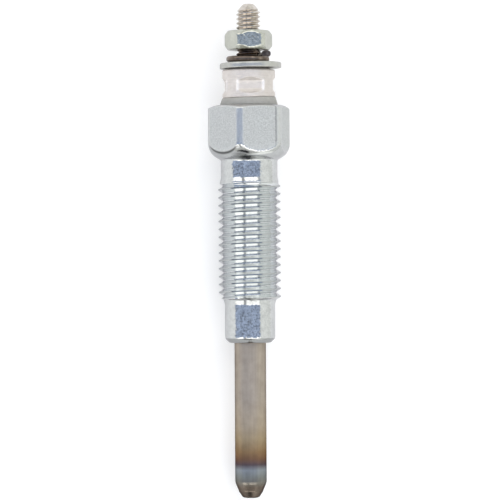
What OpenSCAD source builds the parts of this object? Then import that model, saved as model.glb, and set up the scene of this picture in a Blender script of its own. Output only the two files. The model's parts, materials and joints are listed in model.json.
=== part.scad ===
// Sheathed diesel glow plug with a threaded steel housing and a screw terminal.
// Every piece is drawn along the plug's own axis: z = 0 is the housing's lower face,
// the heater points down and the terminal points up. The last module lays the plug
// down as it rests on a table, on one hex flat and on the lower end of its thread.

/* [Heater sheath] */
// Outside diameter of the heater sheath
sheath_d = 5; // [4.4:0.1:5.6]
// Wall thickness of the sheath
sheath_wall = 0.7; // [0.5:0.05:0.9]
// Length of sheath standing out below the housing
sheath_out = 24.6; // [23:0.1:34]
// Length of sheath held inside the housing
sheath_in = 17; // [15:0.5:22]
// Thickness of the closed end at the tip
tip_wall = 1.9; // [1.2:0.1:2.2]
// Length of the tapered tip
tip_len = 2.4; // [1.6:0.1:3]
// Half angle of the tip's taper, in degrees
tip_angle = 29; // [12:1:30]
// Radius that rounds the end of the tip
tip_round = 0.8; // [0.3:0.1:0.9]

/* [Heater inside] */
// Diameter of the heating coil's wire
heater_wire_d = 0.36; // [0.25:0.01:0.4]
// Diameter of the control coil's wire
control_wire_d = 0.3; // [0.2:0.01:0.36]
// Turns of the heating coil
heater_turns = 11; // [6:1:14]
// Turns of the control coil
control_turns = 13; // [6:1:14]
// Rise of either coil in one turn
coil_pitch = 0.8; // [0.6:0.05:0.9]
// Powder left between the heating coil and the sheath
coil_cover = 0.5; // [0.4:0.05:0.6]
// Turns of the control coil that are wound on the electrode's nose
nose_turns = 2; // [1:1:3]
// Powder left between the electrode's pin and the sheath
pin_cover = 0.6; // [0.4:0.05:0.7]
// Height of the rubber plug that closes the sheath
seal_h = 2; // [1:0.1:3]

/* [Housing] */
// Diameter of the plain nose below the thread
nose_d = 8; // [7.4:0.1:8.6]
// Length of the nose with its seat
nose_len = 6.1; // [4:0.1:9]
// Height of the 45 degree sealing seat
seat_h = 0.7; // [0.3:0.05:1]
// Outside diameter of the M10 body thread
thread_d = 9.9; // [9.6:0.1:10.6]
// Length of the body thread
thread_len = 19.7; // [14:0.1:26]
// Height of the 45 degree bevel at the lower end of the thread
thread_bevel = 0.5; // [0.3:0.05:0.6]
// Diameter of the shank between thread and hexagon
shank_d = 9; // [8.6:0.1:9.4]
// Length of that shank
shank_len = 3.2; // [2:0.1:6]
// Width of the hexagon across its flats
hex_af = 12; // [11.6:0.1:12.6]
// Diameter over the hexagon's rounded corners
hex_corner_d = 13.4; // [13:0.1:13.8]
// Height of the hexagon
hex_h = 8.65; // [7:0.05:12]
// Radius of the curved chin under the hexagon
chin_r = 3.75; // [3.5:0.05:4.5]
// Slope of the chin where it meets the corners, in degrees
chin_angle = 22; // [15:1:30]
// Slope of the hexagon's top edge, in degrees
brow_angle = 20; // [10:1:30]
// Diameter of the flat on top of the hexagon
brow_d = 10.6; // [10:0.1:11.4]

/* [Housing bores] */
// Length of the bore that grips the sheath
grip_len = 14; // [10:0.5:15]
// Width left between the sheath and the bore above its grip
bore_gap = 0.2; // [0.1:0.05:0.3]
// Diameter of the cup that takes the sealing ring and the bush
cup_d = 7.6; // [7.2:0.1:8.2]
// Depth of that cup
cup_depth = 4.2; // [3.6:0.1:5]

/* [Electrode] */
// Diameter of the electrode's rod
rod_d = 3.5; // [3.2:0.05:3.7]
// Outside diameter of the M4 thread that is rolled on the rod
stud_d = 3.9; // [3.8:0.05:4.1]
// Length of free thread above the nut
stud_len = 4.25; // [3:0.05:12]
// Height of the 45 degree point on the stud
stud_bevel = 1.1; // [0.3:0.1:1.2]

/* [Terminal fittings] */
// Height of the bush's flange
flange_h = 1.25; // [0.8:0.05:2.5]
// Diameter of the flange where it stands on the housing
flange_d = 9.2; // [9:0.1:10]
// Diameter of the flange under the collar
flange_top_d = 8.5; // [8.2:0.1:9]
// Outside diameter of the crimped collar
collar_d = 8.4; // [7.6:0.1:8.8]
// Height of the collar
collar_h = 4.6; // [4:0.1:6]
// Height of the 45 degree bevel round the collar's upper end
collar_edge = 0.3; // [0.1:0.05:0.4]
// Depth of the four crimp marks
crimp_depth = 0.55; // [0.2:0.05:0.8]
// Height of a crimp mark at its bottom
crimp_h = 0.9; // [0.5:0.1:1.4]
// Middle of the crimp marks above the collar's lower end
crimp_rise = 1.85; // [1.6:0.05:2.4]
// Outside diameter of the plain washer
washer_d = 9.8; // [9:0.1:11]
// Hole in the plain washer
washer_hole_d = 4.6; // [4.5:0.05:5]
// Thickness of the plain washer
washer_t = 0.9; // [0.6:0.05:1.4]
// How far the loose washer lies off the axis
washer_shift = 0.3; // [0:0.05:0.3]
// Outside diameter of the spring washer
spring_d = 7.1; // [6.8:0.1:7.8]
// Hole in the spring washer
spring_hole_d = 4.2; // [4.15:0.05:4.6]
// Thickness of the spring washer
spring_t = 1; // [0.7:0.05:1.2]
// Height of the spring washer from end to end
spring_h = 2; // [1.6:0.05:2.6]
// Bevel along the spring washer's edges
spring_edge = 0.25; // [0.05:0.05:0.3]
// Gap between the spring washer's ends, in degrees
spring_gap = 30; // [15:1:45]
// Width of the nut across its flats
nut_af = 7; // [6.8:0.1:7.4]
// Diameter over the nut's rounded corners
nut_corner_d = 7.7; // [7.5:0.1:8.2]
// Height of the nut
nut_h = 3.1; // [2.2:0.1:4]
// Diameter of the flat face at either end of the nut
nut_face_d = 5.8; // [5.6:0.1:6.8]

/* [Hidden] */
$fn = 96;

// Radial gap of a pressed or welded fit, and of a piece that only slips on
press_gap = 0.02;
slip_gap = 0.05;

// How far a cutting shape runs past the face that it cuts
over = 1;

// Levels up the housing
thread_z = nose_len;
shank_z = thread_z + thread_len;
hex_z = shank_z + shank_len;
top_z = hex_z + hex_h;
cup_z = top_z - cup_depth;

// Levels up the terminal
collar_z = top_z + flange_h;
washer_z = collar_z + collar_h;
spring_z = washer_z + washer_t;
nut_z = spring_z + spring_h;
stud_z = nut_z + nut_h;
end_z = stud_z + stud_len;

// Radii of the sheath, and the floor of the space inside it
sheath_r = sheath_d / 2;
sheath_inner_r = sheath_r - sheath_wall;
floor_z = tip_wall - sheath_out;

// The two coils, one above the other, on a leg that stands on that floor
coil_r = sheath_inner_r - coil_cover - heater_wire_d / 2;
coil_bend = 1.5 * heater_wire_d;
coil_z = floor_z + 2 * coil_bend;
leg_turn = -coil_bend / coil_r * 180 / PI;
join_z = coil_z + heater_turns * coil_pitch;
coil_top_z = join_z + control_turns * coil_pitch;

// The electrode's pin, with a nose that the control coil is wound on
pin_nose_z = coil_top_z - nose_turns * coil_pitch;
pin_nose_r = coil_r - control_wire_d / 2 - slip_gap;
pin_z = coil_top_z + control_wire_d;
pin_r = sheath_inner_r - pin_cover;
rod_z = sheath_in + slip_gap;
rod_r = rod_d / 2;
stud_r = stud_d / 2;

// The bore round the electrode, and the section of the ring that seals it in the cup
bore_r = sheath_r + bore_gap;
ring_d = (cup_d - rod_d) / 2 - 2 * press_gap;

// Centre of the chin's arc, which leaves the shank at hex_z and ends on the corners
corner_r = hex_corner_d / 2;
chin_centre_r = corner_r - chin_r * cos(chin_angle);
chin_centre_z = hex_z + sqrt(pow(chin_r, 2) - pow(shank_d / 2 - chin_centre_r, 2));

// How pieces are turned about the axis, in degrees: the nut and the crimp as they were tightened,
// the spring washer at its low end, and the way that the plain washer has slipped
nut_turn = -10;
crimp_turn = -13;
spring_start = -40;
washer_turn = -17;

// Power of the spring washer's climb, which starts flat and steepens towards its high end
climb_power = 3;

// Steps in one turn of a coil, round the spring washer and along a rounded edge
coil_steps = 12;
spring_steps = 44;
edge_steps = 8;

// The two points that touch the table, and the tilt and shifts that bring them down on it
rest_high_r = hex_af / 2;
rest_high_z = chin_centre_z - sqrt(pow(chin_r, 2) - pow(rest_high_r - chin_centre_r, 2));
rest_low_r = thread_d / 2;
rest_low_z = thread_z + thread_bevel;
rest_tilt = atan((rest_high_r - rest_low_r) / (rest_high_z - rest_low_z));
rest_lift = rest_high_r * cos(rest_tilt) - rest_high_z * sin(rest_tilt);
rest_front = -sheath_out * cos(rest_tilt) - tip_end_r() * sin(rest_tilt);
rest_back = end_z * cos(rest_tilt) + (stud_r - stud_bevel) * sin(rest_tilt);

// Points along an arc, from one angle to another
function arc(centre, r, from, to) =
    [for (i = [0:edge_steps])
        let (a = from + (to - from) * i / edge_steps)
        centre + r * [cos(a), sin(a)]];

// Radius of the flat at the end of the tip
function tip_end_r() =
    sheath_r - (tip_len - tip_round * (1 - sin(tip_angle))) * tan(tip_angle) - tip_round * cos(tip_angle);

// One station of a swept wire: where it is, which way it runs, and the way out from the axis
function station(point, along, out) = [point, along / norm(along), out];

// Stations of a helix that starts at level z and turns from one angle to another
function helix(r, z, pitch, from, to, steps) =
    [for (i = [0:steps])
        let (a = from + (to - from) * i / steps)
        station([r * cos(a), r * sin(a), z + pitch * (a - from) / 360],
                [-sin(a), cos(a), pitch / (2 * PI * r)],
                [cos(a), sin(a), 0])];

// Stations of a split ring that starts at level z and climbs as it turns clockwise, ever more steeply
function split_ring(r, z, rise, from, span, steps) =
    let (way = span * PI / 180 * r)
    [for (i = [0:steps])
        let (t = i / steps, a = from - span * t)
        station([r * cos(a), r * sin(a), z + rise * pow(t, climb_power)],
                [sin(a), -cos(a), climb_power * rise * pow(t, climb_power - 1) / way],
                [cos(a), sin(a), 0])];

// Stations of the upright leg under the heating coil, bent over into its first turn
function leg() =
    concat([station([coil_r * cos(leg_turn), coil_r * sin(leg_turn), floor_z],
                    [0, 0, 1],
                    [cos(leg_turn), sin(leg_turn), 0])],
           [for (bend = [0:30:60])
               let (a = leg_turn * cos(bend))
               station([coil_r * cos(a), coil_r * sin(a), coil_z - coil_bend * (1 - sin(bend))],
                       [-sin(a) * sin(bend), cos(a) * sin(bend), cos(bend)],
                       [cos(a), sin(a), 0])]);

// Stations of the two coils, which are welded end to end
function heater_stations() =
    concat(leg(),
           helix(coil_r, coil_z, coil_pitch, 0, 360 * heater_turns, coil_steps * heater_turns));
function control_stations() =
    helix(coil_r, join_z, coil_pitch, 0, 360 * control_turns, coil_steps * control_turns);

// A rectangle with bevelled corners, as a section to sweep
function bevelled(width, height, edge) =
    let (x = width / 2, y = height / 2)
    [[x, edge - y], [x, y - edge], [x - edge, y], [edge - x, y],
     [-x, y - edge], [-x, edge - y], [edge - x, -y], [x - edge, -y]];

// Sweeps a section, given as [out, up] points, along a list of stations
module sweep(stations, section) {
    n = len(section);
    last = len(stations) - 1;
    points = [for (s = stations, p = section) s[0] + p[0] * s[2] + p[1] * cross(s[2], s[1])];
    sides = [for (i = [0:n:n * (last - 1)], j = [0:n - 1])
        let (k = (j + 1) % n)
        each [[i + j, i + k, i + n + k], [i + j, i + n + k, i + n + j]]];
    low_end = [for (j = [n - 1:-1:0]) j];
    high_end = [for (j = [0:n - 1]) n * last + j];
    polyhedron(points, concat(sides, [low_end, high_end]), convexity = 10);
}

// A wire of diameter d, with six sides
module wire(stations, d) {
    sweep(stations, [for (a = [0:60:300]) d / 2 * [cos(a), sin(a)]]);
}

// A hexagonal bar with two of its flats square to y
module hex_bar(af, z, h) {
    translate([0, 0, z])
        linear_extrude(h)
            circle(d = af / cos(30), $fn = 6);
}

// A ring with straight walls
module ring(outer_r, inner_r, z, h) {
    translate([0, 0, z])
        difference() {
            cylinder(r = outer_r, h = h);
            translate([0, 0, -over]) cylinder(r = inner_r, h = h + 2 * over);
        }
}

// The outside of the housing, from its seat to just inside the hexagon
module housing_shaft() {
    nose_r = nose_d / 2;
    thread_r = thread_d / 2;
    shank_r = shank_d / 2;
    rotate_extrude()
        polygon([
            [0, 0],
            [nose_r - seat_h, 0],
            [nose_r, seat_h],
            [nose_r, thread_z],
            [thread_r - thread_bevel, thread_z],
            [thread_r, thread_z + thread_bevel],
            [thread_r, shank_z - thread_r + shank_r],
            [shank_r, shank_z],
            [shank_r, chin_centre_z],
            [0, chin_centre_z],
        ]);
}

// The hexagon: a bar with turned corners, a curved chin and a sloping brow
module housing_hexagon() {
    chin_start = -acos((shank_d / 2 - chin_centre_r) / chin_r);
    brow_drop = (corner_r - brow_d / 2) * tan(brow_angle);
    intersection() {
        hex_bar(hex_af, hex_z, hex_h);
        rotate_extrude()
            polygon(concat(
                [[0, hex_z]],
                arc([chin_centre_r, chin_centre_z], chin_r, chin_start, -chin_angle),
                [[corner_r, top_z - brow_drop], [brow_d / 2, top_z], [0, top_z]]
            ));
    }
}

// The stepped hole through the housing: sheath grip, electrode bore and cup
module housing_bores() {
    grip_r = sheath_r + press_gap;
    rotate_extrude()
        polygon([
            [0, -over],
            [grip_r, -over],
            [grip_r, grip_len],
            [bore_r, grip_len + bore_r - grip_r],
            [bore_r, cup_z],
            [cup_d / 2, cup_z],
            [cup_d / 2, top_z + over],
            [0, top_z + over],
        ]);
}

module housing() {
    color([0.78, 0.81, 0.83])
        difference() {
            union() {
                housing_shaft();
                housing_hexagon();
            }
            housing_bores();
        }
}

// Drawn tube with a tapered, rounded and closed end
module heater_sheath() {
    outline = concat(
        [[0, -sheath_out]],
        arc([tip_end_r(), tip_round - sheath_out], tip_round, -90, -tip_angle),
        [[sheath_r, tip_len - sheath_out], [sheath_r, sheath_in], [0, sheath_in]]
    );
    color([0.62, 0.58, 0.54])
        difference() {
            rotate_extrude() polygon(outline);
            translate([0, 0, floor_z]) cylinder(r = sheath_inner_r, h = sheath_in - floor_z + over);
        }
}

// Packed powder, with a ring-shaped pocket for the coils, a hole for the leg and room for the pin
module magnesia_filling() {
    powder_r = sheath_inner_r - press_gap;
    powder_top_z = sheath_in - seal_h;
    pin_hole_r = pin_r + press_gap;
    pocket_half = heater_wire_d / 2 + slip_gap;
    pocket_z = coil_z - coil_bend - pocket_half;
    color([0.93, 0.92, 0.88])
        difference() {
            rotate_extrude()
                polygon([
                    [0, floor_z],
                    [powder_r, floor_z],
                    [powder_r, powder_top_z],
                    [pin_hole_r, powder_top_z],
                    [pin_hole_r, pin_z],
                    [coil_r + pocket_half, pin_z],
                    [coil_r + pocket_half, pocket_z],
                    [coil_r - pocket_half, pocket_z],
                    [coil_r - pocket_half, pin_nose_z],
                    [0, pin_nose_z],
                ]);
            rotate(leg_turn)
                translate([coil_r, 0, floor_z - over])
                    cylinder(d = heater_wire_d + 2 * press_gap, h = pocket_z - floor_z + 2 * over);
        }
}

module heating_coil() {
    color([0.55, 0.5, 0.45]) wire(heater_stations(), heater_wire_d);
}

module control_coil() {
    color([0.66, 0.62, 0.56]) wire(control_stations(), control_wire_d);
}

// Nose and pin inside the sheath, rod through the housing and stud above the nut
module centre_electrode() {
    color([0.72, 0.66, 0.6])
        rotate_extrude()
            polygon([
                [0, pin_nose_z],
                [pin_nose_r, pin_nose_z],
                [pin_nose_r, pin_z],
                [pin_r, pin_z],
                [pin_r, rod_z],
                [rod_r, rod_z + rod_r - pin_r],
                [rod_r, stud_z],
                [stud_r, stud_z],
                [stud_r, end_z - stud_bevel],
                [stud_r - stud_bevel, end_z],
                [0, end_z],
            ]);
}

// Rubber plug between the pin and the top of the sheath
module sheath_seal() {
    color([0.3, 0.14, 0.1])
        ring(sheath_inner_r - press_gap, pin_r + press_gap, sheath_in - seal_h, seal_h);
}

// Sealing ring between the rod and the housing's cup
module o_ring() {
    color([0.14, 0.14, 0.14])
        translate([0, 0, cup_z + ring_d / 2])
            rotate_extrude()
                translate([(cup_d + rod_d) / 4, 0])
                    circle(d = ring_d);
}

// Spigot that stands on the sealing ring in the cup, with a tapered flange on the hexagon
module insulating_bush() {
    spigot_r = cup_d / 2 - press_gap;
    spigot_z = cup_z + ring_d + press_gap;
    hole_r = stud_r + slip_gap;
    color([0.64, 0.63, 0.6])
        rotate_extrude()
            polygon([
                [hole_r, spigot_z],
                [spigot_r, spigot_z],
                [spigot_r, top_z],
                [flange_d / 2, top_z],
                [flange_top_d / 2, collar_z],
                [hole_r, collar_z],
            ]);
}

// One crimping jaw: a wedge with a flat nose, standing in the collar to the depth of its mark
module crimp_jaw() {
    half = crimp_h / 2;
    wide = half + crimp_depth + over;
    translate([0, collar_d / 2, collar_z + crimp_rise])
        rotate([90, 0, 90])
            linear_extrude(collar_d, center = true)
                polygon([[-crimp_depth, -half], [over, -wide], [over, wide], [-crimp_depth, half]]);
}

// Collar squeezed onto the rod by four jaws
module crimp_collar() {
    collar_r = collar_d / 2;
    hole_r = rod_r + press_gap;
    color([0.85, 0.83, 0.82])
        difference() {
            rotate_extrude()
                polygon([
                    [hole_r, collar_z],
                    [collar_r, collar_z],
                    [collar_r, washer_z - collar_edge],
                    [collar_r - collar_edge, washer_z],
                    [hole_r, washer_z],
                ]);
            for (turn = [0:90:270])
                rotate(crimp_turn + turn) crimp_jaw();
        }
}

module plain_washer() {
    color([0.76, 0.77, 0.76])
        translate(washer_shift * [cos(washer_turn), sin(washer_turn), 0])
            ring(washer_d / 2, washer_hole_d / 2, washer_z, washer_t);
}

// Split ring that climbs from the plain washer to the nut, against the hand of the thread
module spring_washer() {
    mean_r = (spring_d + spring_hole_d) / 4;
    low_z = spring_z + spring_t / 2;
    rise = spring_h - spring_t;
    color([0.36, 0.28, 0.24])
        sweep(split_ring(mean_r, low_z, rise, spring_start, 360 - spring_gap, spring_steps),
              bevelled((spring_d - spring_hole_d) / 2, spring_t, spring_edge));
}

// Hexagon nut, bevelled at both ends outside and at both ends of its hole
module terminal_nut() {
    face_r = nut_face_d / 2;
    nut_corner_r = nut_corner_d / 2;
    drop = (nut_corner_r - face_r) * tan(30);
    hole_r = rod_r + press_gap;
    sink = stud_r + slip_gap - hole_r;
    color([0.75, 0.78, 0.79])
        rotate(nut_turn)
            difference() {
                intersection() {
                    hex_bar(nut_af, nut_z, nut_h);
                    rotate_extrude()
                        polygon([
                            [0, nut_z],
                            [face_r, nut_z],
                            [nut_corner_r, nut_z + drop],
                            [nut_corner_r, stud_z - drop],
                            [face_r, stud_z],
                            [0, stud_z],
                        ]);
                }
                rotate_extrude()
                    polygon([
                        [0, nut_z - over],
                        [hole_r + sink + over, nut_z - over],
                        [hole_r, nut_z + sink],
                        [hole_r, stud_z - sink],
                        [hole_r + sink + over, stud_z + over],
                        [0, stud_z + over],
                    ]);
            }
}

// Lays the plug down: terminal towards +Y, its lowest points on Z = 0, centred along Y
module lay_down() {
    translate([0, -(rest_front + rest_back) / 2, rest_lift])
        rotate([rest_tilt - 90, 0, 0])
            children();
}

lay_down() {
    housing();
    heater_sheath();
    magnesia_filling();
    heating_coil();
    control_coil();
    centre_electrode();
    sheath_seal();
    o_ring();
    insulating_bush();
    crimp_collar();
    plain_washer();
    spring_washer();
    terminal_nut();
}
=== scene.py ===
"""Looks of a sheathed diesel glow plug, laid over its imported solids.

Shapes are worked out in millimetres along the plug's own axis: z runs from the housing's lower
face (z = 0) towards the terminal, and y points at the table. place() carries them into the frame.
"""
import json
import math

import bmesh
import bpy
import numpy as np
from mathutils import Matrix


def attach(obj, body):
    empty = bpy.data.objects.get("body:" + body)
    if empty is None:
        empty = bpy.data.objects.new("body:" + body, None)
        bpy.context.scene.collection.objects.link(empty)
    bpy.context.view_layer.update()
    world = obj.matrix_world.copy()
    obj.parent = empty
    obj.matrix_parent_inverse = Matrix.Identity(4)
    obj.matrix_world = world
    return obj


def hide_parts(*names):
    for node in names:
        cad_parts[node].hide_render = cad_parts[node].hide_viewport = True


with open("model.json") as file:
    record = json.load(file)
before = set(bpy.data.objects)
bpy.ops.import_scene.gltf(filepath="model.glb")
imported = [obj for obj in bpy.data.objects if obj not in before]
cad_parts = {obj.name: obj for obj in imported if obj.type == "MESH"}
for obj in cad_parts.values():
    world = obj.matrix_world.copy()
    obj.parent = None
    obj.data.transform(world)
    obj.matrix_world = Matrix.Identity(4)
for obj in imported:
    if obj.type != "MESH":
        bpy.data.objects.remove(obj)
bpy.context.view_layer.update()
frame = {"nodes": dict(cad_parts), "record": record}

MM = 0.001
TURN = 2 * np.pi

# Points of a mesh that are closer than this, in metres, are one point
SAME_POINT = 2e-7

# The camera stands this far round the axis from overhead. The ways to it and to its right follow.
CAMERA_TURN = math.radians(17)
FACING, RIGHT = -np.pi / 2 - CAMERA_TURN, -CAMERA_TURN

# Levels along the axis: the sheath, the electrode inside it, the housing and its bore, the terminal
TIP_Z, FLOOR_Z, SHEATH_TOP_Z = -24.6, -22.7, 17.0
PIN_NOSE_Z, PIN_Z, ROD_Z = -4.02, -2.12, 17.05
SEAT_Z, THREAD_Z, LAST_TURN_Z, RUNOUT_Z, HEX_Z, TOP_Z = 0.7, 6.1, 25.6, 26.2, 29.0, 37.65
PRESS_Z, CUP_Z = 14.0, 33.45
COLLAR_Z, WASHER_Z, SPRING_Z, NUT_Z, STUD_Z, END_Z = 38.9, 43.5, 44.4, 46.4, 49.5, 53.75

# Radii of the housing, outside and in its bore
NOSE_R, SHANK_R, CREST_R, ROOT_R, BROW_R = 4.0, 4.5, 4.95, 4.19, 5.3
TIGHT_R, CHANNEL_R, CUP_R = 2.52, 2.7, 3.8

# Radii of the other turned pieces
SHEATH_R, SHEATH_BORE_R = 2.5, 1.8
PIN_NOSE_R, PIN_R, ROD_R, STUD_R, STUD_ROOT_R = 0.92, 1.2, 1.75, 1.95, 1.52
BUSH_HOLE_R, SPIGOT_R, FLANGE_R, FLANGE_TOP_R = 2.0, 3.78, 4.6, 4.25
COLLAR_HOLE_R, COLLAR_TOP_R, COLLAR_R = 1.77, 3.4, 4.2
WASHER_HOLE_R, WASHER_R = 2.3, 4.9
NUT_HOLE_R, NUT_END_R = 1.97, 3.28

# Radius of the spring washer's middle line, and its section
SPRING_R, SPRING_WIDTH, SPRING_HEIGHT = 2.825, 1.45, 1.0

# Width across the flats and radius over the rounded corners, of the housing and of the nut
HEX_FLATS, HEX_CORNER_R = 12.0, 6.7
NUT_FLATS, NUT_CORNER_R = 7.0, 3.81

# The chin's arc under the hexagon: radius and level of its centre, and its own radius
CHIN_R, CHIN_Z, CHIN_ARC = 3.223, 32.526, 3.75

# Slope of the brow above the hexagon's flats
BROW_SLOPE = math.radians(20)

# Pitch of each thread, and the level of one crest on the camera's right
BODY_PITCH, BODY_CREST_Z = 1.25, 24.857
STUD_PITCH, STUD_CREST_Z = 0.7, 51.7

# Shares of half a pitch that a thread's crest and root take up
CREST_SHARE, ROOT_SHARE = 0.13, 0.06

# Painted dark reflections on the hexagon: the face with a dark lower edge, a dark patch on the chin and a
# thin dark line by a corner
PAINTED_DARK_FACE, PAINTED_DARK_CHIN, PAINTED_DARK_CORNER = math.radians(-150), math.radians(-119), math.radians(-66.5)

# The crimp has pushed the collar's foot down on this side, by this many degrees
LOW_SIDE, COLLAR_LEAN = math.radians(-152), 2.2

# The plug's axis, from the stated mount of its body thread and the level of that mount's middle
body_thread = next(m for m in frame["record"]["mounts"] if m["name"] == "body_thread")
THREAD_MID = np.array(body_thread["pos_m"])
THREAD_MID_Z = 15.975
ALONG = -np.array(body_thread["axis"])
ALONG /= np.linalg.norm(ALONG)
ACROSS = np.array([1.0, 0.0, 0.0])
DOWN = np.cross(ALONG, ACROSS)


def place(points):
    """Plug millimetres to frame metres: x across, y down and z along, counted from the thread's middle."""
    x, y, z = np.moveaxis(np.asarray(points, float), -1, 0)
    steps = x[..., None] * ACROSS + y[..., None] * DOWN + (z - THREAD_MID_Z)[..., None] * ALONG
    return THREAD_MID + MM * steps


def piece(name, grid, node, slot, finish, sharp=32, **marks):
    """Puts a closed grid of points (rows, columns, xyz) into a mesh that stands for a solid.

    Neighbouring points span the faces, points that fall together are merged, which closes the seam
    and the poles, and the faces are turned outwards. Edges sharper than the angle stay crisp. Each
    mark is a value from 0 to 1 at every point of the grid, which the finish can read.
    """
    rows, columns = grid.shape[:2]
    at = np.arange(rows * columns).reshape(rows, columns)
    quads = np.stack([at[:-1, :-1], at[:-1, 1:], at[1:, 1:], at[1:, :-1]], -1).reshape(-1, 4)
    mesh = bpy.data.meshes.new(name)
    mesh.from_pydata(place(grid).reshape(-1, 3).tolist(), [], quads.tolist())
    for mark, values in marks.items():
        attribute = mesh.attributes.new(mark, "FLOAT", "POINT")
        attribute.data.foreach_set("value", values.ravel().astype(np.float32))
    shell = bmesh.new()
    shell.from_mesh(mesh)
    bmesh.ops.remove_doubles(shell, verts=shell.verts, dist=SAME_POINT)
    bmesh.ops.recalc_face_normals(shell, faces=shell.faces)
    shell.to_mesh(mesh)
    shell.free()
    mesh.shade_smooth()
    mesh.set_sharp_from_angle(angle=math.radians(sharp))
    made = bpy.data.objects.new(name, mesh)
    bpy.context.scene.collection.objects.link(made)
    mesh.materials.append(finish)
    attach(made, "root")
    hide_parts(node)


def turned(rows, angles):
    """Grid of a turned piece: each row is (radius, level), and either may change with the angle."""
    radius = np.array([np.broadcast_to(r, angles.shape) for r, _ in rows])
    level = np.array([np.broadcast_to(z, angles.shape) for _, z in rows])
    return np.stack([radius * np.cos(angles), radius * np.sin(angles), level], -1)


def eased(before, corner, after, steps=4):
    """Rows of a rounded edge: a parabola from one (radius, level) to another, bent towards the corner."""
    rows = []
    for t in np.linspace(0, 1, steps + 1):
        weights = (1 - t) ** 2, 2 * t * (1 - t), t * t
        rows.append(tuple(sum(w * p[i] for w, p in zip(weights, (before, corner, after))) for i in (0, 1)))
    return rows


def straight(start, stop, steps):
    """Rows along a straight line between two (radius, level) points, both included."""
    return [tuple(a + (b - a) * t for a, b in zip(start, stop)) for t in np.linspace(0, 1, steps + 1)]


def step(x):
    """Smooth step from 0 to 1, held outside that range."""
    x = np.clip(x, 0, 1)
    return x * x * (3 - 2 * x)


def bell(x, width):
    """Smooth hump: e to the power of minus the square of x over the width, so 1 at x = 0."""
    return np.exp(-((x / width) ** 2))


def apart(angles, middle):
    """Angle between each direction about the axis and the middle one, from 0 to half a turn."""
    return np.abs((angles - middle + np.pi) % TURN - np.pi)


def off_flat(angles, turn=0.0):
    """Angle from the middle of the nearest of a hexagon's flats, from 0 to 30 degrees."""
    return np.abs((angles - turn - np.pi / 2 + np.pi / 6) % (np.pi / 3) - np.pi / 6)


def leaning(grid, towards, degrees):
    """Tips a grid: each point sinks along the axis by its distance towards the low side times the lean."""
    reach = grid[..., 0] * math.cos(towards) + grid[..., 1] * math.sin(towards)
    sunk = grid.copy()
    sunk[..., 2] -= reach * np.tan(np.radians(degrees))
    return sunk


def hexagon(angles, flats, corner, turn=0.0):
    """Radius of a hexagon whose corners are rounded off to the corner radius.

    Within half a flat the radius is half the width over the cosine of the angle from the flat's
    middle. Past it, the ray meets a circle that touches both flats and reaches the corner radius.
    """
    half = flats / 2
    lean = off_flat(angles, turn)
    fillet = (half / math.cos(np.pi / 6) - corner) / (1 / math.cos(np.pi / 6) - 1)
    middle = half - fillet, (half - fillet) * math.tan(np.pi / 6)
    out = middle[0] * np.cos(lean) + middle[1] * np.sin(lean)
    room = np.maximum(out**2 - middle[0] ** 2 - middle[1] ** 2 + fillet**2, 0)
    on_flat = lean <= math.atan2(middle[1], half)
    return np.where(on_flat, half / np.cos(lean), out + np.sqrt(room))


def thread_form(phase, crest, root):
    """Radius over one pitch of a rolled thread: straight flanks between a narrow crest and a narrow root."""
    fall = np.abs((phase + 0.5) % 1 - 0.5) * 2
    return crest - (crest - root) * np.clip((fall - CREST_SHARE) / (1 - CREST_SHARE - ROOT_SHARE), 0, 1)


def thread_rows(angles, low, high, pitch, crest_z, radius):
    """Rows that follow a right-hand helix between two levels, so that crest and root run along them.

    A row climbs by one pitch in a turn, z = crest_z + pitch * (phase + turn), and is held between the
    two levels. The phases mark the edges of the crest and of the root and four steps along each flank.
    A thin step beside the crest keeps its mark narrow. radius(phase, z) gives the surface.
    """
    crest, root, thin = CREST_SHARE / 2, (1 - ROOT_SHARE) / 2, 0.015
    flank = np.concatenate([[crest], np.linspace(crest + thin, root, 5)])
    phases = np.concatenate([[0], flank, [0.5], 1 - flank[::-1]])
    first, last = math.floor((low - crest_z) / pitch) - 1, math.ceil((high - crest_z) / pitch)
    rows = []
    for phase in (np.arange(first, last + 1)[:, None] + phases).ravel():
        z = np.clip(crest_z + pitch * (phase + angles / TURN), low, high)
        rows.append((radius((z - crest_z) / pitch - angles / TURN, z), z))
    return rows


def chin(r):
    """Level of the chin's arc under the hexagon at a radius."""
    return CHIN_Z - np.sqrt(CHIN_ARC**2 - (r - CHIN_R) ** 2)


def body_surface(phase, z):
    """Radius of the body thread: the form fades into a slight cone under the shank.

    At the lower end the lead cuts it off, with one slope up from the nose and then a steeper one.
    """
    cone_slope, fade_length = 0.22, 0.9
    lead_slope, bend, steeper = 0.315, 0.72, 1.9
    cone = SHANK_R + cone_slope * np.maximum(RUNOUT_Z - z, 0)
    depth = step((LAST_TURN_Z - z) / fade_length)
    rolled = cone + (thread_form(phase, CREST_R, ROOT_R) - cone) * depth
    start = z - THREAD_Z
    lead = NOSE_R + lead_slope * start + steeper * np.maximum(start - bend, 0)
    return np.minimum(rolled, lead)


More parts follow.
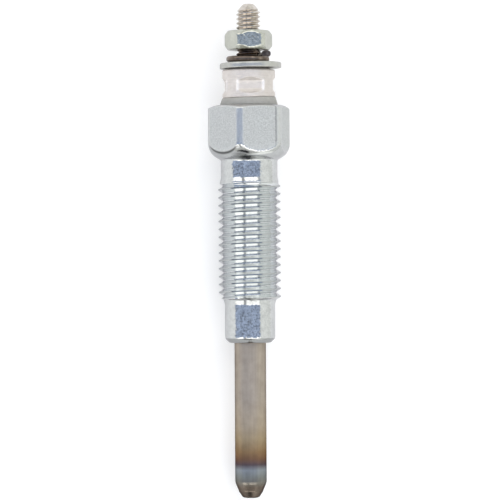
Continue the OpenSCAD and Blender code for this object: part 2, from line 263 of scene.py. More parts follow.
def housing():
    """Closed section turned about the axis: seat, nose, thread, shank, hexagon and the stepped bore.

    Over the hexagon the section changes with the angle: the chin's arc runs out to the hexagon's
    radius at that angle, and the flat stands between the chin and the sloping brow.
    """
    angles = np.linspace(0, TURN, 241) + RIGHT
    flat = hexagon(angles, HEX_FLATS, HEX_CORNER_R)
    edge = chin(flat)
    brow = TOP_Z - (flat - BROW_R) * math.tan(BROW_SLOPE)
    seat_r, neck, ease = NOSE_R - SEAT_Z, SHANK_R + 0.3, 0.4
    rows = [(TIGHT_R, 0.0), (seat_r - 0.4, 0.0)]
    rows += eased((seat_r - 0.2, 0.0), (seat_r, 0.0), (seat_r + 0.12, 0.12))
    rows += eased((NOSE_R - 0.16, SEAT_Z - 0.16), (NOSE_R, SEAT_Z), (NOSE_R, SEAT_Z + 0.5), 8)
    rows += straight((NOSE_R, SEAT_Z + 0.9), (NOSE_R, THREAD_Z - 0.2), 4)
    rows += thread_rows(angles - RIGHT, THREAD_Z, RUNOUT_Z, BODY_PITCH, BODY_CREST_Z, body_surface)
    rows += straight((SHANK_R, RUNOUT_Z + 0.3), (SHANK_R, HEX_Z - 0.8), 3)
    rows += eased((SHANK_R, HEX_Z - 0.3), (SHANK_R, HEX_Z), (neck, chin(neck)))
    outward = [neck + (flat - 0.45 - neck) * t for t in np.linspace(0.12, 0.92, 9)]
    rows += [(r, chin(r)) for r in outward]
    rows += eased((flat - ease, chin(flat - ease)), (flat, edge), (flat, edge + ease), 8)
    rows += [(flat, edge + ease + (brow - edge - ease - 0.25) * t) for t in (0.1, 0.25, 0.5, 0.75)]
    rows += eased((flat, brow - 0.22), (flat, brow), (flat - 0.25, brow + 0.09))
    rows += eased((BROW_R + 0.25, TOP_Z - 0.09), (BROW_R, TOP_Z), (BROW_R - 0.3, TOP_Z))
    rows += [(FLANGE_R - 0.2, TOP_Z), (CUP_R, TOP_Z), (CUP_R, CUP_Z), (CHANNEL_R, CUP_Z)]
    rows += [(CHANNEL_R, PRESS_Z + CHANNEL_R - TIGHT_R), (TIGHT_R, PRESS_Z), (TIGHT_R, 0.0)]
    grid = turned(rows, angles)
    return grid, housing_marks(grid, angles, edge)


def housing_marks(grid, angles, edge):
    """Marks for the housing's finish: products of soft steps and humps along the axis and round it.

    The edge is the level at which the chin meets the hexagon. Flats are marked by how little they lie
    below the hexagon's width, crests by their radius, and the rest by level and angle.
    """
    radius, level = np.hypot(grid[..., 0], grid[..., 1]), grid[..., 2]
    on_hexagon = radius > BROW_R + 0.1
    sunk = HEX_FLATS / 2 - radius * np.cos(off_flat(angles))
    above_chin = step((level - edge - 0.3) / 0.15)
    flat_face = (0.35 + 0.65 * step(1 - sunk / 0.035)) * above_chin * on_hexagon
    full_turns = step((level - THREAD_Z - 0.9) / 0.4) * step((LAST_TURN_Z - 0.2 - level) / 0.4)
    rolled = full_turns * (radius > NOSE_R)
    crest = rolled * step((radius - CREST_R + 0.05) / 0.04)
    ends = step((level - THREAD_Z) / 0.2) * step((RUNOUT_Z - level) / 0.2)
    drawn = step((level - HEX_Z + 0.2) / 0.3) * step((edge + 0.15 - level) / 0.25)
    seat = 0.85 * step((SEAT_Z + 0.1 - level) / 0.1)
    # Painted dark reflections: a dark band under one face's lower edge, a dark patch on the chin under a
    # corner and a thin dark line by another corner
    below_face = step((math.radians(30) - apart(angles, PAINTED_DARK_FACE)) / math.radians(8))
    painted_edge_reflection = bell(level - edge + 0.02, 0.2) * below_face * on_hexagon
    painted_chin_reflection = bell(level - HEX_Z - 0.72, 0.42) * bell(apart(angles, PAINTED_DARK_CHIN), 0.24)
    painted_chin_reflection *= (radius > SHANK_R + 0.1) & (level < edge)
    painted_corner_reflection = (apart(angles, PAINTED_DARK_CORNER) < math.radians(0.5)) * on_hexagon
    painted_corner_reflection = painted_corner_reflection * step((level - edge - 0.3) / 0.4)
    return {
        "flat_face": flat_face,
        "rolled": rolled,
        "crest": crest,
        # a darker tone for the chin and the seat
        "darkened": np.maximum(0.3 * drawn, seat),
        "smooth": np.maximum.reduce([rolled, 0.6 * ends, 0.8 * drawn, seat]),
        "wear_and_painted_reflection": np.maximum.reduce([painted_edge_reflection, 0.75 * painted_chin_reflection, 0.5 * painted_corner_reflection]),
    }


def heater_sheath():
    """Closed tube turned about the axis: rounded end, tip tapered in two steps, long wall, blind bore."""
    angles = np.linspace(0, TURN, 129)
    heights = ((1.5, 0.38), (1.93, 1.03), (1.965, 1.18), (2.404, 2.2), (SHEATH_R, 2.6))
    taper = [(radius, TIP_Z + height) for radius, height in heights]
    rows = [(0.0, TIP_Z), (0.5, TIP_Z)]
    rows += eased((0.8, TIP_Z), (1.3, TIP_Z), taper[0], 8)
    for start, stop in zip(taper[:-1], taper[1:]):
        rows += straight(start, stop, 12)[1:-1]
    rows += straight((SHEATH_R, TIP_Z + 2.63), (SHEATH_R, TIP_Z + 2.9), 3)
    rows += straight((SHEATH_R, TIP_Z + 3.1), (SHEATH_R, SHEATH_TOP_Z), 24)
    rows += [(SHEATH_BORE_R, SHEATH_TOP_Z), (SHEATH_BORE_R, FLOOR_Z), (0.0, FLOOR_Z)]
    return turned(rows, angles)


def centre_electrode():
    """Turned rod: nose and pin in the sheath, rod through the housing, and an M4 thread up to its point.

    The point's radius grows from the end with the root of the distance and with the distance itself.
    """
    angles = np.linspace(0, TURN, 97)
    start, fade_length = WASHER_Z - 0.3, 0.5
    point_r, point_round, point_slope = 0.72, 0.42, 0.55

    def stud(phase, z):
        """Thread form that fades in from the rod and stays inside the point's curve."""
        depth = step((z - start) / fade_length)
        rolled = ROD_R + (thread_form(phase, STUD_R, STUD_ROOT_R) - ROD_R) * depth
        back = np.maximum(END_Z - z, 0)
        return np.minimum(rolled, point_r + point_round * np.sqrt(back) + point_slope * back)

    rows = [(0.0, PIN_NOSE_Z), (PIN_NOSE_R, PIN_NOSE_Z), (PIN_NOSE_R, PIN_Z), (PIN_R, PIN_Z)]
    rows += [(PIN_R, ROD_Z), (ROD_R, ROD_Z)]
    rows += straight((ROD_R, SHEATH_TOP_Z + 3.0), (ROD_R, start - 0.4), 6)
    rows += thread_rows(angles, start, END_Z, STUD_PITCH, STUD_CREST_Z, stud)
    rows += [(0.35, END_Z), (0.0, END_Z)]
    return turned(rows, angles + RIGHT)


def insulating_bush():
    """Turned bush: spigot in the housing's cup and a tapered, eased flange that leans with the collar."""
    angles = np.linspace(0, TURN, 129)
    low = CUP_Z + 2.03
    rows = [(BUSH_HOLE_R, low), (SPIGOT_R, low), (SPIGOT_R, TOP_Z), (FLANGE_R - 0.2, TOP_Z)]
    rows += eased((FLANGE_R - 0.15, TOP_Z), (FLANGE_R, TOP_Z), (FLANGE_R - 0.02, TOP_Z + 0.14))
    top = FLANGE_TOP_R
    rows += eased((top + 0.04, COLLAR_Z - 0.16), (top, COLLAR_Z), (top - 0.15, COLLAR_Z))
    rows += [(BUSH_HOLE_R, COLLAR_Z), (BUSH_HOLE_R, low)]
    grid = turned(rows, angles)
    return leaning(grid, LOW_SIDE, COLLAR_LEAN * step((grid[..., 2] - TOP_Z) / (COLLAR_Z - TOP_Z)))


def crimp_collar():
    """Collar whose radius falls to four flats where the jaws pressed it, with painted highlights at the ends
    of the flats.

    The jaws' depth is a trapezoid with soft ends along the axis, and at each level the radius is the
    smaller of the collar's own and that of a square whose sides stand at the pressed depth. A burr
    stands along both ends of each flat, and fine turning rings run round the rest.
    """
    angles = np.linspace(0, TURN, 361)
    lean = np.abs((angles - FACING - math.radians(4) + np.pi / 4) % (np.pi / 2) - np.pi / 4)
    rim = COLLAR_R - 0.03
    jaw_z, jaw_depth, jaw_half, jaw_run = COLLAR_Z + 1.85, 0.55, 1.25, 0.9
    burr_height, burr_at, burr_width = 0.13, 31, 2.0
    highlight_half, highlight_run, highlight_at, highlight_width = 1.0, 0.3, 29, 2.8
    ring_height, ring_pitch, softness = 0.014, 0.42, 0.03

    def squeezed(z):
        """Radius at a level: the softened smaller of ring and square, plus burr and rings."""
        pressed = np.sin(np.pi / 2 * np.clip((jaw_half - np.abs(z - jaw_z)) / jaw_run, 0, 1))
        side = (COLLAR_R - jaw_depth * pressed) / np.cos(lean)
        smaller = (COLLAR_R + side - np.sqrt((COLLAR_R - side) ** 2 + softness**2)) / 2
        burr = burr_height * pressed * bell(np.degrees(lean) - burr_at, burr_width)
        return smaller + burr + ring_height * math.sin(TURN * z / ring_pitch)

    rows = [(COLLAR_HOLE_R, COLLAR_Z), (rim - 0.27, COLLAR_Z)]
    rows += eased((rim - 0.17, COLLAR_Z), (rim, COLLAR_Z), (rim, COLLAR_Z + 0.18))
    rows += [(squeezed(z), z) for z in np.linspace(COLLAR_Z + 0.3, WASHER_Z - 0.45, 60)]
    rows += eased((rim, WASHER_Z - 0.4), (rim - 0.02, WASHER_Z - 0.3), (rim - 0.12, WASHER_Z - 0.25))
    rows += [(COLLAR_TOP_R + 0.2, WASHER_Z - 0.2), (COLLAR_TOP_R, WASHER_Z)]
    rows += [(COLLAR_HOLE_R, WASHER_Z), (COLLAR_HOLE_R, COLLAR_Z)]
    grid = turned(rows, angles)
    level = grid[..., 2]
    # Painted highlight: a bright band along both ends of each pressed flat, where the burrs would catch the
    # light
    rubbed = np.clip((highlight_half - np.abs(level - jaw_z)) / highlight_run, 0, 1)
    rubbed = rubbed * bell(np.degrees(lean) - highlight_at, highlight_width)
    return leaning(grid, LOW_SIDE, COLLAR_LEAN * step((WASHER_Z - level) / (WASHER_Z - COLLAR_Z))), rubbed


def plain_washer():
    """Stamped ring with a rounded upper and a crisp lower edge, moved off the axis to the right."""
    angles = np.linspace(0, TURN, 161)
    off_axis, lean = 0.3, 1.0
    rows = [(WASHER_HOLE_R, WASHER_Z)]
    rows += eased((WASHER_R - 0.15, WASHER_Z), (WASHER_R, WASHER_Z), (WASHER_R, WASHER_Z + 0.15))
    rows += eased((WASHER_R, SPRING_Z - 0.3), (WASHER_R, SPRING_Z), (WASHER_R - 0.3, SPRING_Z))
    rows += [(WASHER_HOLE_R, SPRING_Z), (WASHER_HOLE_R, WASHER_Z)]
    grid = turned(rows, angles) + off_axis * np.array([math.cos(RIGHT), math.sin(RIGHT), 0.0])
    return leaning(grid, RIGHT + np.pi, lean)


def spring_washer():
    """Split ring: a rounded rectangle carried clockwise round the axis, closed at both ends.

    The section is a superellipse of the ring's width and thickness. It lies flat at first and climbs
    by its own height with the cube of the way round. The first and last stations shrink it to its
    middle, so that the ends are closed.
    """
    way = np.concatenate([[0], np.linspace(0, 1, 121), [1]])
    size = np.ones_like(way)
    size[[0, -1]] = 0
    start, sweep, roundness = math.radians(-40), math.radians(330), 0.75
    angles = start - sweep * way
    around = np.linspace(0, TURN, 41)
    out = SPRING_WIDTH / 2 * np.sign(np.cos(around)) * np.abs(np.cos(around)) ** roundness
    up = SPRING_HEIGHT / 2 * np.sign(np.sin(around)) * np.abs(np.sin(around)) ** roundness
    radius = SPRING_R + size[:, None] * out
    level = SPRING_Z + SPRING_HEIGHT / 2 + SPRING_HEIGHT * way[:, None] ** 3 + size[:, None] * up
    return np.stack([radius * np.cos(angles)[:, None], radius * np.sin(angles)[:, None], level], -1)


def terminal_nut():
    """Hexagon nut: flats between two sloping ends, with a plain hole for the stud."""
    angles = np.linspace(0, TURN, 241)
    turn, slope = math.radians(-10), 1.3
    end, mouth, face_r = NUT_END_R, NUT_HOLE_R + 0.18, 2.5
    flat = hexagon(angles, NUT_FLATS, NUT_CORNER_R, turn)
    low = NUT_Z + (flat - end) * slope
    high = STUD_Z - (flat - end) * slope
    rows = [(NUT_HOLE_R, NUT_Z + 0.2), (mouth, NUT_Z), (face_r, NUT_Z)]
    rows += eased((end - 0.15, NUT_Z), (end, NUT_Z), (end + 0.08, NUT_Z + 0.08 * slope))
    rows += eased((flat - 0.1, low - 0.1 * slope), (flat, low), (flat, low + 0.18), 6)
    rows += [(flat, low + 0.18 + (high - low - 0.36) * t) for t in (0.33, 0.67)]
    rows += eased((flat, high - 0.18), (flat, high), (flat - 0.1, high + 0.1 * slope), 6)
    rows += eased((end + 0.08, STUD_Z - 0.08 * slope), (end, STUD_Z), (end - 0.15, STUD_Z))
    rows += [(face_r, STUD_Z), (mouth, STUD_Z), (NUT_HOLE_R, STUD_Z - 0.2), (NUT_HOLE_R, NUT_Z + 0.2)]
    return turned(rows, angles)


class Finish:
    """A node material built from the surface's own place in the frame."""

    def __init__(self, name, **sockets):
        """Starts the material with constants for the shader's own sockets."""
        self.material = bpy.data.materials.new(name)
        self.material.use_nodes = True
        self.tree = self.material.node_tree
        self.tree.nodes.clear()
        out = self.tree.nodes.new("ShaderNodeOutputMaterial")
        self.shader = self.tree.nodes.new("ShaderNodeBsdfPrincipled")
        self.link(self.shader.outputs[0], out.inputs["Surface"])
        surface = self.tree.nodes.new("ShaderNodeTexCoord").outputs
        self.where, self.upright = surface["Object"], surface["Normal"]
        for socket, value in sockets.items():
            self.shader.inputs[socket.replace("_", " ")].default_value = value

    def link(self, source, target):
        """Joins an output to an input."""
        self.tree.links.new(source, target)

    def node(self, kind, **values):
        """New node of a kind, with its settings."""
        made = self.tree.nodes.new("ShaderNode" + kind)
        for key, value in values.items():
            setattr(made, key, value)
        return made

    def noise(self, scale, detail=2.0, rough=0.5, stretch=None):
        """Cloudy value from 0 to 1, with about this many lumps per metre, drawn out along y by stretch."""
        made = self.node("TexNoise")
        made.inputs["Scale"].default_value = scale
        made.inputs["Detail"].default_value = detail
        made.inputs["Roughness"].default_value = rough
        source = self.where
        if stretch:
            mapping = self.node("Mapping")
            mapping.inputs["Scale"].default_value = stretch
            self.link(source, mapping.inputs["Vector"])
            source = mapping.outputs[0]
        self.link(source, made.inputs["Vector"])
        return made.outputs["Fac"]

    def crystals(self, scale):
        """A random colour for each small crystal of the surface, with about this many per metre."""
        made = self.node("TexVoronoi")
        made.inputs["Scale"].default_value = scale
        self.link(self.where, made.inputs["Vector"])
        return made.outputs["Color"]

    def grains(self, scale):
        """A random value for each small grain of the surface."""
        pick = self.node("SeparateColor")
        self.link(self.crystals(scale), pick.inputs[0])
        return pick.outputs[0]

    def facets(self, scale, tilt, share=None):
        """Normal that every small crystal turns its own way by up to the tilt, mostly along y.

        The crystal's colour, stretched to lie about zero, is added to the surface's own normal, times
        a share from 0 to 1 if one is given.
        """
        turn = self.node("VectorMath", operation="MULTIPLY_ADD")
        self.link(self.crystals(scale), turn.inputs[0])
        turn.inputs[1].default_value = (0.8 * tilt, 2 * tilt, 0.8 * tilt)
        turn.inputs[2].default_value = (-0.4 * tilt, -tilt, -0.4 * tilt)
        held = self.node("VectorMath", operation="SCALE")
        self.link(turn.outputs[0], held.inputs[0])
        if share is not None:
            self.link(share, held.inputs["Scale"])
        leant = self.node("VectorMath", operation="ADD")
        self.link(self.upright, leant.inputs[0])
        self.link(held.outputs[0], leant.inputs[1])
        normal = self.node("VectorMath", operation="NORMALIZE")
        self.link(leant.outputs[0], normal.inputs[0])
        return normal.outputs[0]

    def ramp(self, value, *stops):
        """Colours or greys set against a value from 0 to 1."""
        made = self.node("ValToRGB")
        elements = made.color_ramp.elements
        while len(elements) < len(stops):
            elements.new(0.5)
        for element, (at, colour) in zip(elements, stops):
            element.position = at
            element.color = (*colour, 1) if isinstance(colour, tuple) else (colour, colour, colour, 1)
        self.link(value, made.inputs["Fac"])
        return made.outputs["Color"]

    def mix(self, amount, first, second, how="MIX"):
        """One colour laid over another."""
        made = self.node("Mix", data_type="RGBA", blend_type=how)
        sockets = made.inputs["Factor"], made.inputs[6], made.inputs[7]
        for socket, value in zip(sockets, (amount, first, second)):
            if hasattr(value, "links"):
                self.link(value, socket)
            else:
                socket.default_value = value if isinstance(value, float) else (*value, 1)
        return made.outputs[2]

    def axial(self, low, high):
        """How far a point lies between two levels along the plug, from 0 to 1."""
        offset = self.node("VectorMath", operation="SUBTRACT")
        self.link(self.where, offset.inputs[0])
        offset.inputs[1].default_value = place([0.0, 0.0, low])
        reach = self.node("VectorMath", operation="DOT_PRODUCT")
        self.link(offset.outputs[0], reach.inputs[0])
        reach.inputs[1].default_value = ALONG / ((high - low) * MM)
        return reach.outputs["Value"]

    def mark(self, name):
        """The piece's own mark of that name."""
        return self.node("Attribute", attribute_name=name).outputs["Fac"]

    def colour(self, source):
        """Gives the shader its colour."""
        self.link(source, self.shader.inputs["Base Color"])

    def roughness(self, source):
        """Gives the shader its roughness."""
        self.link(source, self.shader.inputs["Roughness"])

    def uneven(self, value, low, high):
        """Grey between two figures, following a value from 0 to 1."""
        return self.ramp(value, (0.25, low), (0.75, high))

    def bump(self, *layers, strength=None, normal=None):
        """Height from (value, depth in millimetres) layers, laid over a normal if one is given."""
        for value, depth in layers:
            made = self.node("Bump")
            made.inputs["Distance"].default_value = depth * MM
            if strength is not None:
                self.link(strength, made.inputs["Strength"])
            self.link(value, made.inputs["Height"])
            if normal is not None:
                self.link(normal, made.inputs["Normal"])
            normal = made.outputs["Normal"]
        self.link(normal, self.shader.inputs["Normal"])


def shade(tone, amount):
    """A tone made darker or lighter."""
    return tuple(amount * part for part in tone)


def zinc(name, tone, tilt, gloss=(0.1, 0.15), marked=False):
    """Bright zinc plating in small tilted crystals, with soft clouds of tone and darker limbs.

    On a marked piece the rolled thread is smoother and brighter with dull crests, the chin and the seat
    are darker, flats are sandier, and painted dark reflections on the hexagon are nearly black.
    """
    limb, thread_limb = (0.8, 0.79, 0.81), (0.68, 0.665, 0.69)
    made = Finish(name, Metallic=1.0, Specular_Tint=(*limb, 1.0))
    dark, light = shade(tone, 0.86), shade(tone, 1.1)
    clouds = made.ramp(made.noise(900, 4), (0.3, dark), (0.7, light))
    colour = made.mix(0.4, clouds, made.ramp(made.grains(5000), (0.0, dark), (1.0, light)))
    rough = made.uneven(made.noise(2500, 3), *gloss)
    strength = None
    if marked:
        rolled, sandy = made.mark("rolled"), made.mark("flat_face")
        burnished = made.ramp(made.noise(1500, 3), (0.3, (0.685, 0.71, 0.71)), (0.7, (0.74, 0.765, 0.765)))
        burnished = made.mix(made.mark("crest"), burnished, (0.44, 0.455, 0.455))
        sand = made.ramp(made.noise(5200, 2), (0.3, dark), (0.7, shade(tone, 1.16)))
        # The chin and the seat are made darker
        colour = made.mix(made.mark("darkened"), made.mix(rolled, colour, burnished), shade(tone, 0.5))
        # Painted dark reflections on the hexagon, laid on as a nearly black tone
        colour = made.mix(made.mark("wear_and_painted_reflection"), made.mix(sandy, colour, sand), shade(tone, 0.1))
        rough = made.mix(rolled, rough, made.uneven(made.noise(3000, 3), 0.1, 0.14))
        rough = made.mix(sandy, rough, made.uneven(made.noise(3500, 3), 0.62, 0.75))
        strength = made.ramp(made.mark("smooth"), (0.0, 1.0), (1.0, 0.06))
        made.link(made.ramp(rolled, (0.0, limb), (1.0, thread_limb)), made.shader.inputs["Specular Tint"])
    made.colour(colour)
    made.roughness(rough)
    made.bump((made.noise(4200, 2), 0.006), (made.noise(1300, 3), 0.008), strength=strength,
              normal=made.facets(4200, tilt, strength))
    return made.material


def heated_alloy():
    """Satin sheath alloy that turns straw, bronze, violet and blue towards a shiny tip, finely streaked."""
    made = Finish("heated_alloy", Metallic=1.0, Specular_Tint=(0.3, 0.3, 0.31, 1.0))
    heat_end_z = -8.6
    reach = made.axial(TIP_Z, heat_end_z)
    temper = made.ramp(
        reach,
        (0.0, (0.11, 0.086, 0.072)),
        (0.11, (0.145, 0.117, 0.095)),
        (0.15, (0.18, 0.168, 0.146)),
        (0.21, (0.2, 0.21, 0.2)),
        (0.28, (0.255, 0.28, 0.298)),
        (0.335, (0.106, 0.081, 0.088)),
        (0.39, (0.178, 0.102, 0.064)),
        (0.46, (0.254, 0.162, 0.086)),
        (0.58, (0.349, 0.27, 0.169)),
        (0.72, (0.385, 0.319, 0.24)),
        (1.0, (0.388, 0.336, 0.28)),
    )
    clouds = made.noise(700, 4)
    streaks = made.noise(2600, 3, stretch=(1.0, 0.04, 1.0))
    wear_and_painted_reflection = made.mix(0.2, temper, made.ramp(clouds, (0.3, 0.25), (0.7, 0.75)), "OVERLAY")
    made.colour(made.mix(0.12, wear_and_painted_reflection, made.ramp(streaks, (0.3, 0.2), (0.7, 0.8)), "OVERLAY"))
    made.roughness(made.ramp(reach, (0.0, 0.34), (0.1, 0.2), (0.15, 0.18), (0.17, 0.42), (1.0, 0.46)))
    made.bump((streaks, 0.003), (made.noise(4200, 2), 0.013))
    return made.material


def warm_nickel():
    """Slightly warm plating on the terminal stud, with dark brown painted shade below the nut."""
    made = Finish("warm_nickel", Metallic=1.0)
    clouds = made.noise(1500, 3)
    plated = made.ramp(clouds, (0.3, (0.53, 0.488, 0.44)), (0.7, (0.65, 0.606, 0.552)))
    # Painted shade: the stud is coloured dark brown below the nut, where the nut and the washers shade it
    painted_shade_brown = made.ramp(clouds, (0.3, (0.1, 0.075, 0.06)), (0.7, (0.2, 0.155, 0.125)))
    above = made.ramp(made.axial(NUT_Z - 0.4, NUT_Z + 0.4), (0.3, 0.0), (0.7, 1.0))
    made.colour(made.mix(above, painted_shade_brown, plated))
    made.roughness(made.uneven(made.noise(3000, 2), 0.13, 0.2))
    made.bump((made.noise(8000, 2), 0.001))
    return made.material


def bush_plastic():
    """Matt warm grey moulding with a faint mottle."""
    made = Finish("bush_plastic", Roughness=0.6, Specular_IOR_Level=0.4)
    made.colour(made.ramp(made.noise(1800, 4), (0.3, (0.36, 0.352, 0.325)), (0.7, (0.42, 0.41, 0.38))))
    made.bump((made.noise(6000, 3), 0.006))
    return made.material


def crimp_aluminium():
    """Soft matt aluminium, faintly pink, with shallow marks from the press and painted highlights at the
    ends of the pressed flats.
    """
    made = Finish("crimp_aluminium", Metallic=1.0)
    dull = made.ramp(made.noise(1100, 4), (0.3, (0.65, 0.607, 0.572)), (0.7, (0.725, 0.682, 0.647)))
    # Painted highlight along the ends of the pressed flats
    made.colour(made.mix(made.mark("rubbed"), dull, (0.9, 0.87, 0.85)))
    made.roughness(made.uneven(made.noise(2600, 3), 0.52, 0.62))
    made.bump((made.noise(5000, 2), 0.004), (made.noise(1300, 2), 0.012))
    return made.material


def browned_spring_steel():
    """Dark brown oxide on spring steel, rubbed lighter and smoother in patches."""
    made = Finish("browned_spring_steel", Metallic=1.0)
    rubbed = made.noise(1600, 5, 0.6)
    brown, wear_and_painted_reflection, bare = (0.11, 0.086, 0.07), (0.19, 0.15, 0.12), (0.32, 0.26, 0.21)
    made.colour(made.ramp(rubbed, (0.35, brown), (0.6, wear_and_painted_reflection), (0.75, bare)))
    made.roughness(made.uneven(rubbed, 0.34, 0.26))
    made.bump((made.noise(7000, 2), 0.004))
    return made.material


def inner_finish(name, dark, light, metallic, rough, lumps):
    """Finish of a piece sealed inside: two close tones in clouds, with a slight grain."""
    made = Finish(name, Metallic=metallic, Roughness=rough)
    made.colour(made.ramp(made.noise(lumps, 3), (0.3, dark), (0.7, light)))
    made.bump((made.noise(lumps * 3, 2), 0.004))
    return made.material


housing_zinc = zinc("housing_zinc", (0.56, 0.572, 0.565), 0.085, marked=True)
washer_zinc = zinc("washer_zinc", (0.5, 0.5, 0.465), 0.06, (0.3, 0.42))
nut_zinc = zinc("nut_zinc", (0.52, 0.528, 0.47), 0.12, (0.16, 0.22))

body, body_marks = housing()
collar, collar_rubbed = crimp_collar()
piece("housing_body", body, "housing", "housing_zinc", housing_zinc, **body_marks)
piece("heater_tube", heater_sheath(), "heater_sheath", "sheath_alloy", heated_alloy())
piece("electrode_stud", centre_electrode(), "centre_electrode", "electrode_steel", warm_nickel())
piece("bush_flange", insulating_bush(), "insulating_bush", "bush_plastic", bush_plastic())
piece("pressed_collar", collar, "crimp_collar", "collar_aluminium", crimp_aluminium(), rubbed=collar_rubbed)
piece("flat_ring", plain_washer(), "plain_washer", "washer_zinc", washer_zinc)
piece("split_ring", spring_washer(), "spring_washer", "spring_steel", browned_spring_steel(), sharp=40)
piece("hexagon_nut", terminal_nut(), "terminal_nut", "nut_zinc", nut_zinc)

# Pieces sealed inside: node, finish, its dark and light tones, metallic, roughness and lumps per metre
SEALED = (
    ("magnesia_filling", "magnesia_powder", (0.8, 0.79, 0.74), (0.88, 0.87, 0.83), 0.0, 0.9, 4000),
    ("heating_coil", "heating_wire", (0.2, 0.18, 0.16), (0.3, 0.27, 0.24), 1.0, 0.5, 5000),
    ("control_coil", "control_wire", (0.38, 0.35, 0.3), (0.48, 0.44, 0.39), 1.0, 0.4, 5000),
    ("sheath_seal", "seal_rubber", (0.06, 0.02, 0.014), (0.09, 0.03, 0.02), 0.0, 0.75, 3000),
    ("o_ring", "ring_rubber", (0.012, 0.012, 0.012), (0.022, 0.022, 0.022), 0.0, 0.6, 3000),
)
for sealed_node, *look in SEALED:
    materials = frame["nodes"][sealed_node].data.materials
    materials.clear()
    materials.append(inner_finish(*look))


def table_top():
    """White table that keeps the plug's shadow: a pale matt sheet that adds light of its own where seen."""
    half, paleness, own_light = 3.0, 0.62, 0.45
    made = bpy.data.materials.new("white_table")
    made.use_nodes = True
    tree = made.node_tree
    tree.nodes.clear()
    out = tree.nodes.new("ShaderNodeOutputMaterial")
    matt = tree.nodes.new("ShaderNodeBsdfDiffuse")
    matt.inputs["Color"].default_value = (paleness, paleness, paleness, 1)
    glow = tree.nodes.new("ShaderNodeEmission")
    both = tree.nodes.new("ShaderNodeAddShader")
    path = tree.nodes.new("ShaderNodeLightPath")
    seen = path.outputs["Is Camera Ray"]
    for ray in ("Is Glossy Ray", "Is Transmission Ray"):
        either = tree.nodes.new("ShaderNodeMath")
        either.operation = "MAXIMUM"
        tree.links.new(seen, either.inputs[0])
        tree.links.new(path.outputs[ray], either.inputs[1])
        seen = either.outputs[0]
    share = tree.nodes.new("ShaderNodeMath")
    share.operation = "MULTIPLY"
    share.inputs[1].default_value = own_light
    tree.links.new(seen, share.inputs[0])
    tree.links.new(share.outputs[0], glow.inputs["Strength"])
    tree.links.new(matt.outputs[0], both.inputs[0])
    tree.links.new(glow.outputs[0], both.inputs[1])
    tree.links.new(both.outputs[0], out.inputs["Surface"])
    mesh = bpy.data.meshes.new("table")
    corners = [(-half, -half, 0), (half, -half, 0), (half, half, 0), (-half, half, 0)]
    mesh.from_pydata(corners, [], [(0, 1, 2, 3)])
    mesh.materials.append(made)
    table = bpy.data.objects.new("table", mesh)
    bpy.context.scene.collection.objects.link(table)


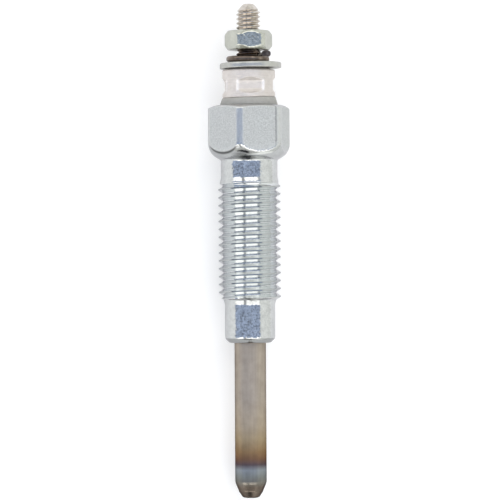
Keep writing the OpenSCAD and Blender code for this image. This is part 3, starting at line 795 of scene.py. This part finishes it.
def studio_sky():
    """White tent round the plug, brighter on the right, with an opening for the lens.

    Directions are told by their angle about the plug, from overhead to the right, and by y, their share
    along the plug towards the terminal. White panels span the tent from the left horizon to a little
    right of overhead, brighter towards the terminal, with a dim seam along them and a strip light
    across them on the tip's side. The opening lies between them, square to the plug: blue-grey, in two
    mottled tones, with a dark core. Beyond the tip, the tent is dark on the left.
    """
    world = bpy.data.worlds.new("studio")
    bpy.context.scene.world = world
    world.use_nodes = True
    tree = world.node_tree
    tree.nodes.clear()

    def joined(kind, *values):
        """Result of one arithmetic node on one or two values."""
        made = tree.nodes.new("ShaderNodeMath")
        made.operation = kind
        for socket, value in zip(made.inputs, values):
            tree.links.new(value, socket)
        return made.outputs[0]

    def product(whole, *others):
        """All the shares multiplied together."""
        for other in others:
            whole = joined("MULTIPLY", whole, other)
        return whole

    def fade(value, start, stop):
        """Soft step from 0 at the start to 1 at the stop."""
        made = tree.nodes.new("ShaderNodeMapRange")
        made.interpolation_type = "SMOOTHSTEP"
        made.inputs["From Min"].default_value = start
        made.inputs["From Max"].default_value = stop
        tree.links.new(value, made.inputs["Value"])
        return made.outputs["Result"]

    def over(amount, under, colour):
        """Colour laid over what is under it, by a share from 0 to 1."""
        made = tree.nodes.new("ShaderNodeMix")
        made.data_type = "RGBA"
        tree.links.new(amount, made.inputs["Factor"])
        if isinstance(under, tuple):
            made.inputs[6].default_value = (*under, 1)
        else:
            tree.links.new(under, made.inputs[6])
        made.inputs[7].default_value = (*colour, 1)
        return made.outputs[2]

    ray = tree.nodes.new("ShaderNodeSeparateXYZ")
    seen_way = tree.nodes.new("ShaderNodeTexCoord").outputs["Generated"]
    tree.links.new(seen_way, ray.inputs[0])
    mottle = tree.nodes.new("ShaderNodeTexNoise")
    mottle.inputs["Scale"].default_value = 9
    tree.links.new(seen_way, mottle.inputs["Vector"])
    x, y, z = ray.outputs
    share = joined("ABSOLUTE", y)
    side = joined("ARCTAN2", x, z)

    def swing(start, stop):
        """Soft step over the angle about the plug, in degrees."""
        return fade(side, math.radians(start), math.radians(stop))

    upward = fade(z, -0.02, 0.1)
    facing = product(swing(33, 27), upward)
    right = product(swing(27, 33), upward)
    right_end = product(right, fade(y, -0.72, -0.8))
    panels = product(facing, fade(share, 0.74, 0.66))
    dark_end = product(facing, swing(2, -8), fade(y, -0.84, -0.9))
    terminal_panel = product(panels, swing(24, 16), fade(y, 0.0, 0.02))
    tip_panel = product(panels, fade(y, 0.0, -0.02))
    strip_light = product(panels, fade(y, -0.53, -0.49), fade(y, -0.38, -0.42))
    seam = product(panels, swing(-51, -46), swing(-33, -38))
    opening = product(facing, fade(share, 0.36, 0.28))
    mottled = product(opening, fade(mottle.outputs["Fac"], 0.49, 0.42))
    core = product(opening, fade(share, 0.04, 0.02))
    layers = (
        (right, (1.02, 1.04, 1.02)),
        (right_end, (1.7, 1.72, 1.68)),
        (panels, (0.55, 0.57, 0.58)),
        (dark_end, (0.05, 0.05, 0.06)),
        (terminal_panel, (2.5, 2.45, 2.36)),
        (tip_panel, (1.85, 1.84, 1.82)),
        (strip_light, (3.1, 3.0, 2.9)),
        (seam, (0.45, 0.46, 0.48)),
        (opening, (0.58, 0.7, 0.95)),
        (mottled, (0.28, 0.34, 0.5)),
        (core, (0.16, 0.17, 0.2)),
    )
    tone = (0.86, 0.86, 0.84)
    for amount, colour in layers:
        tone = over(amount, tone, colour)
    sky = tree.nodes.new("ShaderNodeBackground")
    tree.links.new(tone, sky.inputs["Color"])
    out = tree.nodes.new("ShaderNodeOutputWorld")
    tree.links.new(sky.outputs[0], out.inputs["Surface"])


def softbox(name, aim, distance, width, length, power):
    """Area lamp that looks at the plug from a direction given as degrees from overhead, to the right."""
    lamp = bpy.data.lights.new(name, "AREA")
    lamp.shape = "RECTANGLE"
    lamp.size, lamp.size_y = width, length
    lamp.energy = power
    made = bpy.data.objects.new(name, lamp)
    lean = math.radians(aim)
    made.location = (distance * math.sin(lean), 0.0, distance * math.cos(lean))
    made.rotation_euler = (0.0, lean, 0.0)
    bpy.context.scene.collection.objects.link(made)


def camera():
    """Looks square at the plug's axis, turned about it, with the terminal at the top."""
    distance, span, sensor = 450.0, 79.365, 36.0
    middle_z, shift, roll = 14.7, 0.05, math.radians(0.33)
    back = -math.cos(CAMERA_TURN) * DOWN - math.sin(CAMERA_TURN) * ACROSS
    right = np.cross(ALONG, back)
    up = math.cos(roll) * ALONG + math.sin(roll) * right
    target = place([0.0, 0.0, middle_z]) + shift * MM * right
    data = bpy.data.cameras.new("camera")
    data.sensor_fit = "HORIZONTAL"
    data.sensor_width = sensor
    data.lens = sensor * distance / span
    data.clip_start, data.clip_end = 0.01, 20.0
    made = bpy.data.objects.new("camera", data)
    matrix = np.eye(4)
    matrix[:3, 0], matrix[:3, 1], matrix[:3, 2] = np.cross(up, back), up, back
    matrix[:3, 3] = target + distance * MM * back
    made.matrix_world = matrix.T.tolist()
    bpy.context.scene.collection.objects.link(made)
    bpy.context.scene.camera = made


table_top()
studio_sky()
softbox("right_softbox", aim=50, distance=0.7, width=0.5, length=1.1, power=0.2)
camera()
bpy.context.scene.view_settings.view_transform = "Standard"
